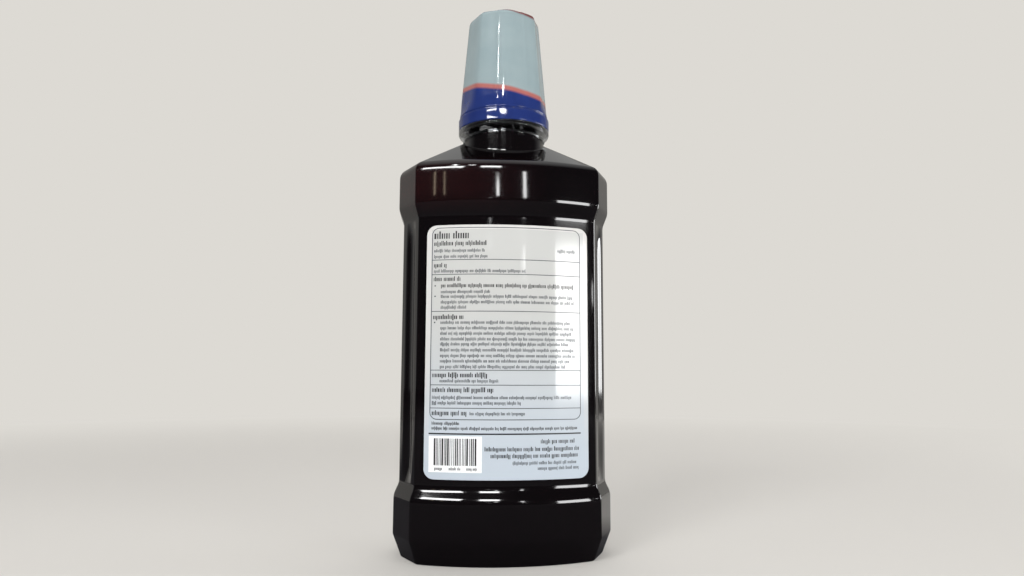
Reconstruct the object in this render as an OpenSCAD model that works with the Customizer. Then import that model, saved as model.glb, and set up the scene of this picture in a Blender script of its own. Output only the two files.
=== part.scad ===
// Mouthwash bottle with a dosing cup for a cap, as sold: full, capped and sealed in shrink film.
// Sizes are in millimetres. The origin is the middle of the foot on the table, +Z is up,
// X runs along the wide faces, and the drug information label is on the -Y face.

/* [Body] */
// Width across the two flat sides
body_w = 81; // [68:0.5:98]
// Depth across the middles of the two bowed faces
body_d = 56; // [50:0.5:68]
// How far the middle of a bowed face stands out from its upright edges
bow_rise = 7.5; // [5:0.5:9]
// Distance from a flat side in to the nearest upright edge of the bowed faces
corner_w = 6.5; // [5:0.5:8]
// Width of each flat side
side_flat_w = 13; // [9:0.5:16]
// Wall of the blown body
wall = 0.7; // [0.5:0.1:1.2]

/* [Body heights, from the table up] */
// Slanted foot
foot_h = 8.5; // [6:0.5:12]
// Upright part of the lower band
lower_band_h = 14; // [8:0.5:20]
// Slope from the lower band in to the label panel
lower_step_h = 4; // [2:0.5:6]
// Recessed label panel
panel_h = 97; // [70:0.5:120]
// Slope from the label panel out to the upper band
upper_step_h = 5; // [2:0.5:7]
// Upper band, to where its wall would meet the sloping shoulder
upper_band_h = 14.5; // [10:0.5:22]
// From there to the top of the wide neck
neck_rise = 16.8; // [15.4:0.1:22]

/* [Body details] */
// How far the foot draws in at the table
foot_inset = 3.2; // [1.5:0.1:4.5]
// How far the label panel stands back from the two bands
panel_inset = 1.9; // [1.2:0.1:2.4]
// Slope of the shoulder in degrees
shoulder_slope = 30; // [20:0.5:32]
// Radius of the edge round the shoulder
shoulder_round = 4; // [2:0.5:6]
// Width of each upright flute
flute_w = 7.4; // [5:0.1:9]
// Depth of each upright flute
flute_depth = 1.1; // [0.6:0.1:1.4]
// Gap from the ends of the panel to the ends of a flute
flute_end_gap = 3; // [2:0.5:8]
// Radius of the dished middle of the base
base_dish_r = 20; // [14:0.5:20]
// Height of the dished middle of the base
base_dish_h = 3; // [1.5:0.1:4]

/* [Neck] */
// Diameter over the thread
thread_d = 27.4; // [22:0.1:33]
// Depth of the thread
thread_depth = 1.25; // [1:0.05:1.4]
// Rise of the thread in one turn
thread_lead = 4.2; // [4:0.1:4.4]
// Turns of thread on the neck
neck_thread_turns = 1.2; // [0.8:0.1:1.3]
// Turns of thread in the cap
cap_thread_turns = 1.1; // [0.8:0.1:1.2]
// Wall of the threaded finish
finish_wall = 1.65; // [1.3:0.05:2]
// Height of the threaded finish
finish_h = 11.7; // [9.7:0.1:14]
// How far the wide neck stands out beyond the thread
neck_step = 2; // [1.5:0.1:2.2]

/* [Dosing cup] */
// Height of the cup
cup_h = 46.5; // [38:0.1:58]
// Wall of the cup round the thread ring, where its taper starts
skirt_wall = 1.85; // [1.8:0.05:2.4]
// How far the collar at the open end stands out beyond the taper
collar_step = 0.55; // [0.3:0.05:1]
// Height of the collar
collar_h = 4.8; // [4:0.1:7]
// Height of the groove above the collar
groove_h = 1.1; // [0.8:0.1:1.6]
// Depth of the groove below the taper's surface
groove_depth = 0.3; // [0.2:0.1:0.6]
// How much the closed end is narrower than the start of the taper
cup_narrowing = 7.2; // [4:0.1:9]
// Number of broad flats round the cup
cup_flats = 8; // [6:1:12]
// How deep each flat is cut
flat_depth = 0.6; // [0.2:0.1:0.7]
// Radius round the closed end
cup_round = 2; // [1:0.1:3]
// Wall of the cup above the thread ring
cup_wall = 1.2; // [1:0.1:1.6]
// Dose at the line inside the cup, in millilitres
dose_ml = 10; // [5:1:10]

/* [Thread ring and gasket] */
// Wall of the thread ring
ring_wall = 1.3; // [1.1:0.05:1.5]
// Thickness of the ring's inward flange
flange_t = 1.4; // [1:0.1:2]
// Thickness of the gasket
gasket_t = 1.2; // [0.8:0.1:1.6]

/* [Films and labels] */
// Thickness of the shrink film
film_t = 0.15; // [0.1:0.01:0.2]
// Height of the perforation above the open end of the cup
perforation_h = 0.4; // [0.3:0.1:1.5]
// Width of the rim of film turned in on the closed end
film_lip_w = 4; // [3:0.5:6]
// How far the film's tail runs down the wide neck
tail_h = 2.2; // [1.9:0.1:2.6]
// Margin from the upright edges of the bowed face to the sides of a label
label_side_gap = 4.5; // [4:0.5:9]
// Margin from the ends of the panel to the ends of a label
label_end_gap = 3.2; // [2:0.1:8]
// Corner radius of each label
label_corner_r = 3.5; // [1:0.1:6]
// Thickness of each label
label_t = 0.1; // [0.08:0.01:0.15]

/* [Mouthwash] */
// Level of the mouthwash below the shoulder's edge
fill_drop = 1.5; // [1.5:0.5:60]

/* [Fits] */
// Gap that keeps films, labels and liquid just clear of what they lie against
skin_gap = 0.02; // [0.01:0.01:0.03]
// Gap round the thread ring in the cup
ring_gap = 0.05; // [0.03:0.01:0.1]
// Gap between the open end of the cup and the wide neck
cap_gap = 2; // [1.5:0.1:2.5]
// Gap round the threads
thread_gap = 0.3; // [0.25:0.05:0.4]

/* [Hidden] */
$fn = 96;

// Heights of the body
lower_band_top = foot_h + lower_band_h;
panel_bottom = lower_band_top + lower_step_h;
panel_top = panel_bottom + panel_h;
upper_band_bottom = panel_top + upper_step_h;
shoulder_z = upper_band_bottom + upper_band_h;
neck_z = shoulder_z + neck_rise;
fill_level = shoulder_z - fill_drop;

// Bow of the wide faces: an arc through both upright edges and the middle
face_w = body_w - 2 * corner_w;
face_edge_d = body_d - 2 * bow_rise;
bow_r = (pow(face_w / 2, 2) + pow(bow_rise, 2)) / (2 * bow_rise);
bow_y = bow_r - body_d / 2;
bow_steps = 24;

// Corner facets: from a flat side's edge to a bowed face's edge
facet_angle = atan2(corner_w, (face_edge_d - side_flat_w) / 2);
facet_mid = [(body_w - corner_w) / 2, (face_edge_d + side_flat_w) / 4];
facet_reach = facet_mid[0] * cos(facet_angle) + facet_mid[1] * sin(facet_angle);
flute_shift = facet_mid[1] * cos(facet_angle) - facet_mid[0] * sin(facet_angle);

// Flutes: upright round-nosed cuts whose axes stand outside the corner facets of the panel
flute_r = (pow(flute_w / 2, 2) + pow(flute_depth, 2)) / (2 * flute_depth);
flute_reach = facet_reach - panel_inset + flute_r - flute_depth;
flute_low_z = panel_bottom + flute_end_gap + flute_w / 2;
flute_high_z = panel_top - flute_end_gap - flute_w / 2;
base_sphere_r = (pow(base_dish_r, 2) + pow(base_dish_h, 2)) / (2 * base_dish_h);

// Neck and finish
neck_d = thread_d + 2 * neck_step;
finish_d = thread_d - 2 * thread_depth;
bore_d = finish_d - 2 * finish_wall;
rim_z = neck_z + finish_h;
neck_foot_z = shoulder_z + 3;
neck_wall = 1.2;
neck_in_r = neck_d / 2 - neck_wall;

// Cap, gasket and thread ring
gasket_z = rim_z + skin_gap;
flange_z = gasket_z + gasket_t + skin_gap;
ring_top_z = flange_z + flange_t;
ring_bore_r = thread_d / 2 + thread_gap;
ring_d = 2 * (ring_bore_r + ring_wall);
cup_z = neck_z + cap_gap;
ring_bottom_z = cup_z + 1;
cup_bore_r = ring_d / 2 + ring_gap;
cup_d = 2 * (cup_bore_r + skirt_wall);
cup_top_d = cup_d - cup_narrowing;
collar_d = cup_d + 2 * collar_step;
groove_z = cup_z + collar_h;
taper_z = groove_z + groove_h;
cup_top_z = cup_z + cup_h;
taper = cup_narrowing / 2 / (cup_top_z - taper_z);
perforation_z = cup_z + perforation_h;

// The cup's inner wall above the thread ring, as radii at the ring's top and at the closed end
cup_in_base_r = cup_r(ring_top_z) - flat_depth - cup_wall;
cup_in_top_z = cup_top_z - cup_wall;
cup_in_top_r = cup_r(cup_in_top_z) - flat_depth - cup_wall;
cup_in_taper = (cup_in_base_r - cup_in_top_r) / (cup_in_top_z - ring_top_z);
dose_r = pow(pow(cup_in_top_r, 3) + 3 * cup_in_taper * dose_ml * 1000 / PI, 1 / 3);
dose_line_z = cup_in_top_z - (dose_r - cup_in_top_r) / cup_in_taper;
dose_line_w = 0.6;
dose_line_depth = 0.25;

// The neck's thread ends this far below the rim, and its ridge is this tall at root and crest
thread_end_gap = 2.6;
thread_start_z = rim_z - thread_end_gap - thread_lead * neck_thread_turns;
thread_root = 2;
thread_crest = 0.9;
thread_steps = 36;
thread_bite = 0.4;
// The cap's ridge runs midway between two turns of the neck's thread
cap_thread_root = 1.5;
cap_thread_crest = 0.7;
cap_thread_z = thread_start_z - thread_lead / 2;
cap_thread_from = (ring_bottom_z + cap_thread_root / 2 + 0.2 - cap_thread_z) / thread_lead;

// Labels
label_w = face_w - 2 * label_side_gap;
label_h = panel_h - 2 * label_end_gap;
label_z = panel_bottom + label_end_gap;

// The shoulder slopes in this far: below the film's tail, with some of each corner facet left
facets_end = max([for (inset = [0:0.5:body_w / 2 - 1]) if (bow_end_y(inset) > side_y(inset) + 0.3) inset]);
tail_clearance = 0.1;
slope_reach = min(facets_end, (neck_rise - tail_h - tail_clearance) / tan(shoulder_slope));

bottle_colour = "#1c0b0a";
liquid_colour = "#5a1a12";
label_colour = "#d5dade";
cup_colour = "#16181c";
film_colour = "#8fa3a8";

// Radius of the cup's taper at a height, before the flats
function cup_r(z) = cup_d / 2 - (z - taper_z) * taper;

// Edge round the shoulder at a depth inside the outer surface, as points [inset, z]
function shoulder_edge(depth, steps = 6) =
    let (turn = 90 - shoulder_slope, start = shoulder_z - shoulder_round * tan(turn / 2))
    let (r = shoulder_round - depth)
    [for (i = [0:steps]) let (a = turn * i / steps)
        [shoulder_round - r * cos(a), start + r * sin(a)]];

// Upright profile of a wall at a depth inside the outer surface, as points [inset, z]
function wall_profile(depth, reach) =
    let (edge = shoulder_edge(depth), last = edge[len(edge) - 1])
    concat(
        [[foot_inset + depth, depth], [depth, foot_h], [depth, lower_band_top],
         [panel_inset + depth, panel_bottom], [panel_inset + depth, panel_top],
         [depth, upper_band_bottom]],
        edge,
        [[reach, last[1] + (reach - last[0]) * tan(shoulder_slope)]]
    );

// Half the width of a flat side on the outline drawn in by an inset
function side_y(inset) =
    (facet_reach - inset - (body_w / 2 - inset) * cos(facet_angle)) / sin(facet_angle);

// Where the bowed face would meet the plane of the flat side on that outline
function bow_end_y(inset) = sqrt(pow(bow_r - inset, 2) - pow(body_w / 2 - inset, 2)) - bow_y;

// Outline of the body drawn in by an inset, counterclockwise from above
function outline(inset) =
    let (a = facet_angle, q = facet_reach - inset, r = bow_r - inset, x = body_w / 2 - inset)
    let (b = bow_y * cos(a), c = q * q + bow_y * bow_y + 2 * bow_y * q * sin(a) - r * r)
    let (edge_x = q * cos(a) + (b - sqrt(b * b - c)) * sin(a), half = asin(edge_x / r))
    let (flat_y = side_y(inset))
    let (bow = [for (i = [0:bow_steps]) let (t = half * (1 - 2 * i / bow_steps))
        [r * sin(t), r * cos(t) - bow_y]])
    concat([[x, -flat_y], [x, flat_y]], bow, [[-x, flat_y], [-x, -flat_y]], [for (p = bow) -p]);

// Body without neck, flutes and base dish, at a depth inside the outer surface
module body_form(depth) {
    levels = wall_profile(depth, slope_reach);
    rings = [for (level = levels) [for (p = outline(level[0])) [p[0], p[1], level[1]]]];
    n = len(rings[0]);
    last = n * (len(levels) - 1);
    points = [for (ring = rings, p = ring) p];
    sides = [for (i = [0:len(levels) - 2], k = [0:n - 1])
        let (a = n * i + k, b = n * i + (k + 1) % n)
        each [[a, b + n, b], [a, a + n, b + n]]];
    polyhedron(points, concat(sides, [[for (k = [0:n - 1]) k]], [[for (k = [n - 1:-1:0]) last + k]]));
}

// The four round-ended flutes, grown by a depth to leave a wall behind them
module flutes(depth) {
    r = flute_r + depth;
    ends = [for (i = [0:8]) let (a = 90 * i / 8)
        [i == 8 ? 0 : r * cos(a), r * sin(a)]];
    tops = [for (p = ends) [p[0], flute_high_z + p[1]]];
    feet = [for (i = [8:-1:0]) [ends[i][0], flute_low_z - ends[i][1]]];
    for (turn = [facet_angle, -facet_angle, 180 + facet_angle, 180 - facet_angle])
        rotate([0, 0, turn]) translate([flute_reach, sign(sin(turn * 2)) * flute_shift])
            rotate_extrude() polygon(concat(feet, tops));
}

// The dish under the base, grown by a depth to leave a wall over it
module base_dish(depth) {
    translate([0, 0, base_dish_h - base_sphere_r]) sphere(r = base_sphere_r + depth, $fn = 240);
}

// A ridge of trapezoid section wound about Z, fading in and out over its first and last steps
module thread(root_r, crest_r, root, crest, start_z, turns, start_turn = 0) {
    count = ceil(turns * thread_steps);
    function fade(i) = min(1, (i + 0.3) / 4, (count - i + 0.3) / 4);
    rings = [for (i = [0:count])
        let (a = 360 * (start_turn + i / thread_steps), z = start_z + thread_lead * a / 360)
        let (r = root_r + (crest_r - root_r) * fade(i))
        let (c = root + (crest - root) * fade(i))
        [for (p = [[root_r, -root / 2], [r, -c / 2], [r, c / 2], [root_r, root / 2]])
            [p[0] * cos(a), p[0] * sin(a), z + p[1]]]];
    points = [for (ring = rings, p = ring) p];
    sides = [for (i = [0:count - 1], k = [0:3])
        let (a = 4 * i + k, b = 4 * i + (k + 1) % 4)
        each [[a, a + 4, b], [b, a + 4, b + 4]]];
    outwards = crest_r > root_r;
    faces = concat(sides, [[0, 1, 2], [0, 2, 3]],
        [[4 * count, 4 * count + 2, 4 * count + 1], [4 * count, 4 * count + 3, 4 * count + 2]]);
    polyhedron(points, outwards ? [for (f = faces) [f[0], f[2], f[1]]] : faces);
}

module bottle() {
    color(bottle_colour) {
        difference() {
            union() {
                difference() {
                    body_form(0);
                    flutes(0);
                }
                rotate_extrude() polygon([
                    [0, neck_foot_z], [neck_d / 2, neck_foot_z], [neck_d / 2, neck_z - 0.6],
                    [neck_d / 2 - 0.6, neck_z], [finish_d / 2, neck_z],
                    [finish_d / 2, rim_z - 0.5], [finish_d / 2 - 0.5, rim_z], [0, rim_z]
                ]);
                thread(finish_d / 2 - thread_bite, thread_d / 2, thread_root, thread_crest,
                    thread_start_z, neck_thread_turns);
            }
            difference() {
                body_form(wall);
                flutes(wall);
                base_dish(wall);
            }
            rotate_extrude() polygon([
                [0, neck_foot_z - 1], [neck_in_r, neck_foot_z - 1], [neck_in_r, neck_z - 2.4],
                [bore_d / 2, neck_z + 1], [bore_d / 2, rim_z + 1], [0, rim_z + 1]
            ]);
            base_dish(0);
        }
    }
}

module mouthwash() {
    color(liquid_colour) difference() {
        body_form(wall + skin_gap);
        flutes(wall + skin_gap);
        base_dish(wall + skin_gap);
        translate([0, 0, fill_level + 50]) cube([2 * body_w, 2 * body_w, 100], center = true);
    }
}

// A label stuck to the panel on the +Y side (1) or the -Y side (-1)
module label(side) {
    half = asin(face_w / 2 / bow_r);
    inner_r = bow_r - panel_inset + skin_gap;
    corner_x = label_w / 2 - label_corner_r;
    strip = [for (end = [0, 1], i = [0:bow_steps])
        let (t = half * (1 - 2 * i / bow_steps) * (end == 0 ? 1 : -1), r = inner_r + end * label_t)
        [r * sin(t), r * cos(t) - bow_y]];
    color(label_colour) rotate([0, 0, side > 0 ? 0 : 180]) intersection() {
        translate([0, 0, label_z - 1]) linear_extrude(height = label_h + 2) polygon(strip);
        translate([0, body_d / 2, label_z]) rotate([90, 0, 0])
            linear_extrude(height = body_d / 2) hull()
                for (x = [-corner_x, corner_x], z = [label_corner_r, label_h - label_corner_r])
                    translate([x, z]) circle(r = label_corner_r, $fn = 48);
    }
}

module back_label() {
    label(-1);
}

module front_label() {
    label(1);
}

// Clear end of the shrink film below the perforation, drawn in round the wide neck
module neck_sleeve() {
    r = collar_d / 2 + 0.07;
    neck_r = neck_d / 2 + 0.05;
    top = perforation_z - 0.05;
    inner = [[r, top], [r, neck_z + 1.2], [r - 0.35, neck_z + 0.4], [(r + neck_r) / 2, neck_z - 0.35],
        [neck_r + 0.25, neck_z - 1.1], [neck_r, neck_z - 1.7], [neck_r, neck_z - tail_h]];
    outer = [for (i = [len(inner) - 1:-1:0]) inner[i] + [film_t, i > 1 && i < 5 ? -film_t / 2 : 0]];
    color("#3a4049", 0.5) rotate_extrude() polygon(concat(inner, outer));
}

// Outside of the cup, grown outwards: a collar, a groove and a taper with broad flats
module cup_form(grow) {
    top_r = cup_top_d / 2;
    flat_r = (top_r + taper * (cup_top_z - taper_z) - flat_depth + grow) / cos(180 / cup_flats);
    flat_top_r = (top_r - flat_depth + grow) / cos(180 / cup_flats);
    round_end = [for (i = [0:6]) let (a = 90 * i / 6)
        [top_r - cup_round * (1 - cos(a)), cup_top_z - cup_round * (1 - sin(a))]];
    intersection() {
        rotate_extrude() polygon(concat(
            [[0, groove_z], [cup_d / 2 - groove_depth, groove_z], [cup_d / 2 + grow, taper_z - grow]],
            [for (p = round_end) p + [grow, grow]],
            [[0, cup_top_z + grow]]
        ));
        translate([0, 0, taper_z]) rotate([0, 0, 2]) union() {
            cylinder(r1 = flat_r, r2 = flat_top_r, h = cup_top_z + grow - taper_z, $fn = cup_flats);
            translate([0, 0, -2 * groove_h]) cylinder(r = collar_d, h = 2 * groove_h);
        }
    }
    collar_r = collar_d / 2 + grow;
    rotate_extrude() polygon([
        [0, cup_z], [collar_r - 0.75, cup_z], [collar_r - 0.2, cup_z + 0.4], [collar_r, cup_z + 1],
        [collar_r, groove_z - 0.3], [collar_r - 0.3, groove_z + grow],
        [cup_d / 2 - groove_depth + grow, groove_z + grow],
        [cup_d / 2 - groove_depth + grow, taper_z], [0, taper_z]
    ]);
}

module dose_cup() {
    color(cup_colour) difference() {
        cup_form(0);
        rotate_extrude() polygon([
            [0, cup_z - 1], [cup_bore_r, cup_z - 1], [cup_bore_r, ring_top_z + skin_gap],
            [cup_in_base_r, ring_top_z + skin_gap],
            [dose_r + 0.3 * cup_in_taper, dose_line_z - dose_line_w / 2],
            [dose_r + dose_line_depth, dose_line_z],
            [dose_r - 0.3 * cup_in_taper, dose_line_z + dose_line_w / 2],
            [cup_in_top_r, cup_in_top_z - 0.8], [cup_in_top_r - 0.8, cup_in_top_z],
            [0, cup_in_top_z]
        ]);
    }
}

module thread_ring() {
    color("#1e2024") {
        difference() {
            translate([0, 0, ring_bottom_z])
                cylinder(d = ring_d, h = ring_top_z - ring_bottom_z);
            translate([0, 0, ring_bottom_z - 1])
                cylinder(r = ring_bore_r, h = flange_z - ring_bottom_z + 1);
            cylinder(d = bore_d, h = 2 * ring_top_z);
        }
        thread(ring_bore_r + thread_bite, finish_d / 2 + thread_gap, cap_thread_root, cap_thread_crest,
            cap_thread_z, cap_thread_turns, cap_thread_from);
    }
}

module gasket() {
    color("#d9d4c4") translate([0, 0, gasket_z]) difference() {
        cylinder(r = ring_bore_r - 0.1, h = gasket_t);
        translate([0, 0, -1]) cylinder(d = bore_d + 0.4, h = gasket_t + 2);
    }
}

// Printed shrink film above the perforation: down over the collar and turned in on the closed end
module printed_sleeve() {
    color(film_colour) difference() {
        cup_form(skin_gap + film_t);
        cup_form(skin_gap);
        cylinder(r = collar_d, h = perforation_z + 0.05);
        cylinder(r = cup_top_d / 2 - film_lip_w, h = 2 * cup_top_z);
    }
}

bottle();
mouthwash();
back_label();
front_label();
neck_sleeve();
dose_cup();
thread_ring();
gasket();
printed_sleeve();
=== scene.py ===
# %% [markdown]
# # A sealed bottle of mouthwash
# The bottle is blown from amber PET and stands full and unopened. A dosing cup serves as its
# cap, and a printed shrink film covers the cup and seals it to the neck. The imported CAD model
# fixes every size and every joint, so this lesson only gives each visible piece its true
# surface and its finish.

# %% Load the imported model
import math
import random

import bmesh
import bpy
import numpy as np
from mathutils import Matrix, Vector


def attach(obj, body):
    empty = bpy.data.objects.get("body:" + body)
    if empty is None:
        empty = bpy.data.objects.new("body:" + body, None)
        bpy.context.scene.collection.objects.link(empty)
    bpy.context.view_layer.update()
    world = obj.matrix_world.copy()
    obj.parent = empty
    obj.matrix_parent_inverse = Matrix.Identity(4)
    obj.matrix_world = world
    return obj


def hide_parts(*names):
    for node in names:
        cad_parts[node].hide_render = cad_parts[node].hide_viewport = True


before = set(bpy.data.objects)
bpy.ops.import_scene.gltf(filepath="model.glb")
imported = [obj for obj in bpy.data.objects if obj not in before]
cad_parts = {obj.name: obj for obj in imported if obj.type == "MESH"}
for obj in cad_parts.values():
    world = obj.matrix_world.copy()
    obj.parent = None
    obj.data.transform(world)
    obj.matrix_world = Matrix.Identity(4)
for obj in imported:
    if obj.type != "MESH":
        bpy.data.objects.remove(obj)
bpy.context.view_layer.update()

MM = 0.001

# %% [markdown]
# ## The camera
# The picture was taken with a phone held low in front of the bottle and tipped up a little,
# so the sides lean together towards the top. Matching that by eye takes long. The place,
# tilt and focal length here come from fitting the bottle's outline and the label's corners,
# and the camera's axes are then set directly from those angles.

# %% Camera
IMAGE_W, SENSOR = 1024, 36.0


def place_camera(position, heading, tilt, roll, focal_px):
    """A camera at a position in mm; heading is from +Y towards +X, all angles in degrees."""
    h, t, r = (math.radians(v) for v in (heading, tilt, roll))
    ahead = Vector((math.sin(h) * math.cos(t), math.cos(h) * math.cos(t), math.sin(t)))
    side = Vector((math.cos(h), -math.sin(h), 0))
    up = side.cross(ahead)
    side, up = side * math.cos(r) + up * math.sin(r), up * math.cos(r) - side * math.sin(r)
    data = bpy.data.cameras.new("camera")
    data.sensor_width = SENSOR
    data.lens = focal_px / IMAGE_W * SENSOR
    data.clip_start, data.clip_end = 0.01, 20
    camera = bpy.data.objects.new("camera", data)
    camera.matrix_world = Matrix.Translation(Vector(position) * MM) @ Matrix(
        (side, up, -ahead)).transposed().to_4x4()
    bpy.context.scene.collection.objects.link(camera)
    bpy.context.scene.camera = camera


place_camera(position=(-24.7, -294.0, 66.5), heading=5.49, tilt=6.46, roll=0.217, focal_px=757.8)
bpy.context.scene.view_settings.view_transform = "Standard"

# %% [markdown]
# ## Helpers for finishes
# Colours are written as the sRGB hex values that a screen shows, and Blender works with
# linear light, so one function turns the one into the other. Another adds a shader node with
# its settings, its values and its links, which keeps each finish to a few readable lines.

# %% Colour and node helpers


def linear(hex_colour):
    """An sRGB hex colour as linear RGBA."""
    parts = [int(hex_colour[i:i + 2], 16) / 255 for i in (1, 3, 5)]
    return [v / 12.92 if v <= 0.04045 else ((v + 0.055) / 1.055) ** 2.4 for v in parts] + [1]


def add(material, kind, values=None, links=None, **settings):
    """A new node in a material or world, with socket values, links and settings."""
    node = material.node_tree.nodes.new("ShaderNode" + kind)
    for name, value in settings.items():
        setattr(node, name, value)
    for name, value in (values or {}).items():
        node.inputs[name].default_value = value
    for name, socket in (links or {}).items():
        material.node_tree.links.new(socket, node.inputs[name])
    return node


def new_finish(name):
    """An empty node material, and the Object coordinates of the piece that wears it."""
    material = bpy.data.materials.new(name)
    material.use_nodes = True
    material.node_tree.nodes.clear()
    place = add(material, "TexCoord").outputs["Object"]
    return material, place


def close_finish(material, values, links=None):
    """A Principled surface with these values and links, as the material's result."""
    surface = add(material, "BsdfPrincipled", values, links)
    add(material, "OutputMaterial", links={"Surface": surface.outputs[0]})
    return material


# %% [markdown]
# ## Amber PET, stretch-blown
# The wall is tinted a deep brown-red and backed by dark liquid, so the bottle looks black
# with a red cast, and all its brightness but a painted glow is reflection. Blowing leaves the
# wall smooth but not true: it wanders by a few hundredths of a millimetre over a centimetre or
# two, which makes the reflections waver. A low, wide bump gives that. The glow is light showing
# red through the wall, painted into the colour in the upper band, in soft clouds, more at -X.

# %% Amber PET
# Painted light: each fade is an axis, a start and an end in mm, over which the red glow of light
# through the wall grows.
GLOW_FADES = (("Z", 124, 133), ("Z", 147, 140), ("X", 14, -18))


def amber_pet():
    """Near-black plastic whose painted red glow grows over each fade, from its first level to its
    second.
    """
    material, place = new_finish("amber_pet_stretch_blown")
    axes = add(material, "SeparateXYZ", links={"Vector": place})
    glow_share = add(material, "TexNoise", {"Scale": 1 / (34 * MM), "Detail": 1.0},
               {"Vector": place}).outputs["Fac"]
    for axis, start, end in GLOW_FADES:
        share = add(material, "MapRange", {"From Min": start * MM, "From Max": end * MM},
                    {"Value": axes.outputs[axis]})
        glow_share = add(material, "Math", links={0: glow_share, 1: share.outputs["Result"]},
                   operation="MULTIPLY").outputs[0]
    # The near-black is the plastic; the redder colour is a painted glow of light showing through the
    # wall.
    colour = add(material, "Mix", {"A": linear("#050203"), "B": linear("#22090a")},
                 {"Factor": glow_share}, data_type="RGBA", clamp_factor=True)
    waver = add(material, "TexNoise", {"Scale": 1 / (16 * MM), "Detail": 0.0}, {"Vector": place})
    bump = add(material, "Bump", {"Strength": 0.25, "Distance": 0.25 * MM},
               {"Height": waver.outputs["Fac"]})
    return close_finish(
        material, {"Roughness": 0.07, "IOR": 1.57},
        {"Base Color": colour.outputs["Result"], "Normal": bump.outputs["Normal"]})


AMBER_PET = amber_pet()

# %% [markdown]
# ## The bottle's walls
# From above, the body has two flat sides, two broad bowed faces and four corner facets, and
# each wall draws in and out together as it rises: a slanted foot, a lower band, a recessed
# label panel, an upper band and a sloping shoulder. It could be cut from solids, but blown
# plastic has no sharp edge anywhere. So the outline is a distance field: each wall gives its
# distance from a point, and a smooth maximum joins the walls with a small radius.

# %% Sizes of the body, in mm
BODY_W, BODY_D = 81.0, 56.0
BOW_RISE, CORNER_W, SIDE_FLAT_W = 7.5, 6.5, 13.0
WALL = 0.7
PANEL_INSET = 1.9
PANEL_BOTTOM, PANEL_TOP = 26.5, 123.5
SHOULDER_Z, SHOULDER_SLOPE, SHOULDER_ROUND = 143.0, math.radians(30), 4.0
NECK_Z, NECK_R, NECK_WALL = 159.8, 15.7, 1.2
RIM_Z = 171.5
FLUTE_W, FLUTE_DEPTH, FLUTE_END_GAP = 7.4, 1.1, 3.0

FACE_W = BODY_W - 2 * CORNER_W
BOW_R = ((FACE_W / 2) ** 2 + BOW_RISE ** 2) / (2 * BOW_RISE)
BOW_Y = BOW_R - BODY_D / 2
CORNER_H = (BODY_D - 2 * BOW_RISE - SIDE_FLAT_W) / 2
FACET_ANGLE = math.atan2(CORNER_W, CORNER_H)
FACET_MID = Vector(((BODY_W - CORNER_W) / 2, (SIDE_FLAT_W + CORNER_H) / 2))
FACET_NORMAL = Vector((math.cos(FACET_ANGLE), math.sin(FACET_ANGLE)))
FACET_REACH = FACET_MID.dot(FACET_NORMAL)
FLUTE_SHIFT = FACET_MID.y * FACET_NORMAL.x - FACET_MID.x * FACET_NORMAL.y
FLUTE_R = ((FLUTE_W / 2) ** 2 + FLUTE_DEPTH ** 2) / (2 * FLUTE_DEPTH)
FLUTE_LOW = PANEL_BOTTOM + FLUTE_END_GAP + FLUTE_W / 2
FLUTE_HIGH = PANEL_TOP - FLUTE_END_GAP - FLUTE_W / 2
EDGE_BLEND, FLUTE_BLEND, NECK_BLEND, NECK_BLEND_RISE = 0.3, 0.25, 1.0, 2.0

# %% The outline as a smooth distance field


def smooth_max(a, b, blend):
    """The larger of two fields, rounded where they are within a blend of each other."""
    return np.maximum(a, b) + np.maximum(blend - np.abs(a - b), 0) ** 2 / (4 * blend)


def flute_recess(x, y, z):
    """How deep the round-ended flute in each corner facet is at a point."""
    across = y * FACET_NORMAL.x - x * FACET_NORMAL.y - FLUTE_SHIFT
    along = np.maximum(np.maximum(z - FLUTE_HIGH, FLUTE_LOW - z), 0)
    arch = np.sqrt(np.maximum(FLUTE_R ** 2 - across ** 2 - along ** 2, 0))
    return smooth_max(arch - (FLUTE_R - FLUTE_DEPTH), 0 * arch, FLUTE_BLEND)


def outside_walls(x, y, z, inset):
    """Distance outside the body's outline drawn in by an inset; negative inside."""
    x, y = np.abs(x), np.abs(y)
    side = x - (BODY_W / 2 - inset)
    facet = x * FACET_NORMAL.x + y * FACET_NORMAL.y - (FACET_REACH - inset)
    bow = np.hypot(x, y + BOW_Y) - (BOW_R - inset)
    facet = facet + flute_recess(x, y, z)
    return smooth_max(smooth_max(side, facet, EDGE_BLEND), bow, EDGE_BLEND)


def outline_radius(angle, z, inset):
    """Distance from the axis to the outline in a direction, found by halving."""
    low, high = np.zeros_like(angle), np.full_like(angle, BODY_W)
    for _ in range(32):
        middle = (low + high) / 2
        outside = outside_walls(middle * np.cos(angle), middle * np.sin(angle), z, inset) > 0
        low, high = np.where(outside, low, middle), np.where(outside, middle, high)
    return (low + high) / 2


# %% [markdown]
# ## Profiles
# A bottle's upright profile is a run of straight lines with a radius at each corner. One
# function rounds the corners and then divides long stretches, so that the mesh is fine where
# the shape turns and coarse where it runs straight.

# %% Rounded profiles


def rounded_path(points, radii, arc_steps=5):
    """Points of a 2-D path whose inner corners are rounded to the given radii."""
    points = [Vector(p) for p in points]
    path = [points[0]]
    for before, corner, after, radius in zip(points, points[1:], points[2:], radii):
        back, on = (before - corner).normalized(), (after - corner).normalized()
        if (back + on).length < 1e-3:
            path.append(corner)
            continue
        half = math.acos(max(-1, min(1, back.dot(on)))) / 2
        reach = radius / math.tan(half)
        centre = corner + (back + on).normalized() * (radius / math.sin(half))
        start, end = corner + back * reach - centre, corner + on * reach - centre
        for i in range(arc_steps + 1):
            spoke = start.slerp(end, i / arc_steps) * radius
            path.append(centre + spoke)
    return path + [points[-1]]


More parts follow.
